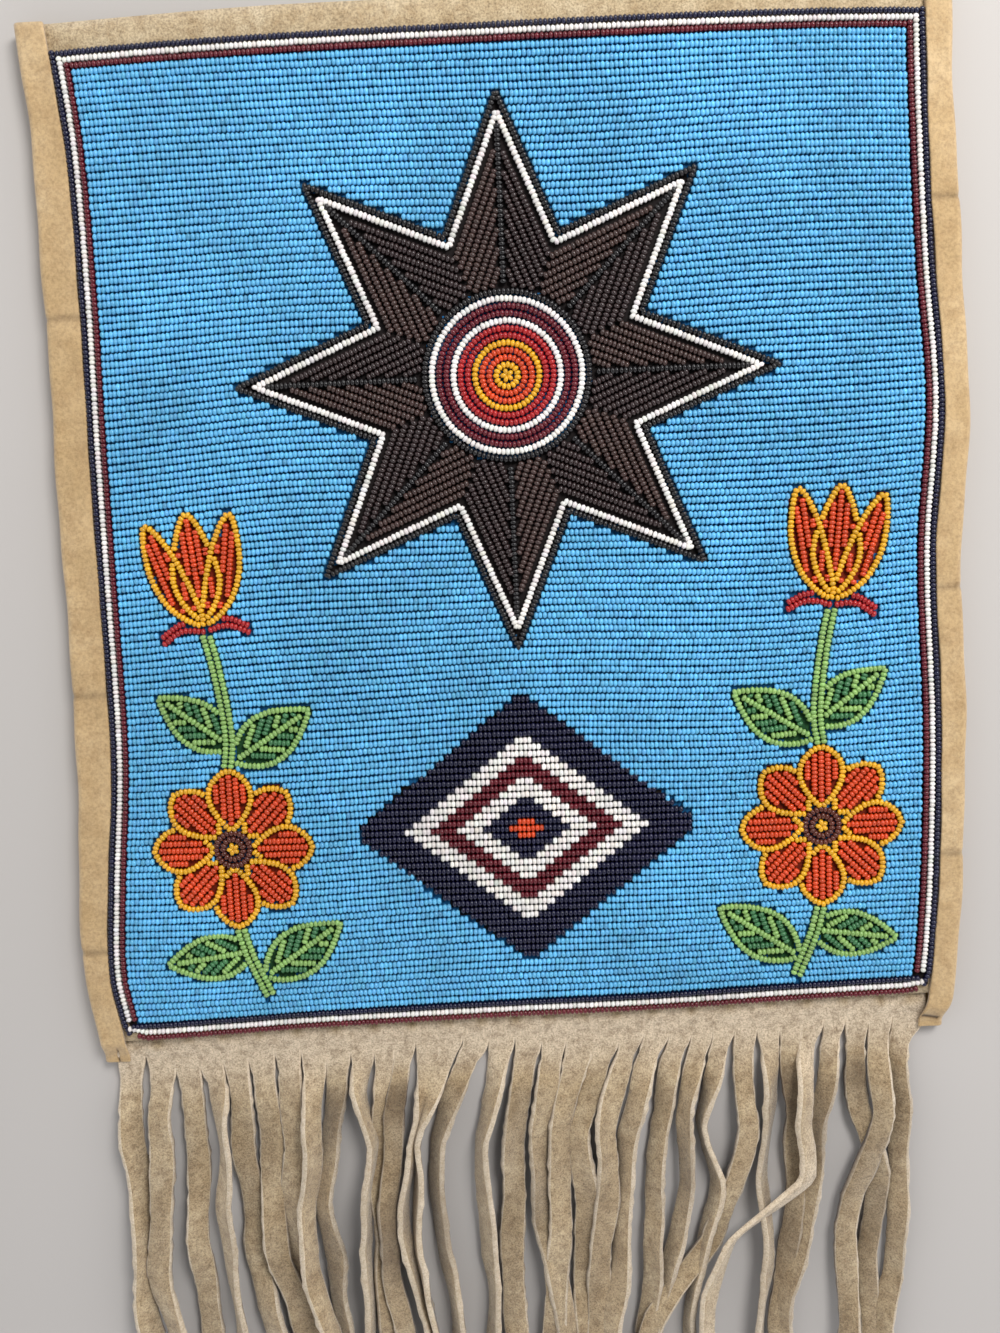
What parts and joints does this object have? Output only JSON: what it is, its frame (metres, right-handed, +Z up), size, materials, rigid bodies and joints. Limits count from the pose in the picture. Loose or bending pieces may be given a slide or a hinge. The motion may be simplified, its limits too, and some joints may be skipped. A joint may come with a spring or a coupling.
{
  "type": "beaded wall bag",
  "caption": "Flat hide wall bag with a beaded front, striped bead border, bound sides, an open top and a cut hide fringe along the bottom.",
  "frame": {"origin": "on the flat underside of the back panel, below the middle of the beading", "axes": "+X across the bag, +Y towards its mouth, +Z up out of the beaded face"},
  "size_m": [0.2648, 0.4165, 0.0114],
  "materials": {
    "panel_hide": "tanned hide, matt, suede side out",
    "binding_hide": "smoked hide, smooth, mottled",
    "fringe_hide": "suede hide, matt, mottled, pale cut edges",
    "bead_ground": "opaque glass seed beads, glossy, light blue",
    "bead_navy": "opaque glass seed beads, glossy, navy",
    "bead_white": "opaque glass seed beads, glossy, white",
    "bead_maroon": "opaque glass seed beads, glossy, maroon"
  },
  "bodies": {
    "root": {"back_panel": "panel_hide", "front_panel": "panel_hide", "side_binding_left": "binding_hide", "side_binding_right": "binding_hide", "fringe": "fringe_hide", "bead_field": "bead_ground", "border_left_navy": "bead_navy", "border_left_white": "bead_white", "border_left_maroon": "bead_maroon", "border_right_navy": "bead_navy", "border_right_white": "bead_white", "border_right_maroon": "bead_maroon", "border_top_navy": "bead_navy", "border_top_white": "bead_white", "border_top_maroon": "bead_maroon", "border_bottom_navy": "bead_navy", "border_bottom_white": "bead_white", "border_bottom_maroon": "bead_maroon"}
  },
  "joints": []
}
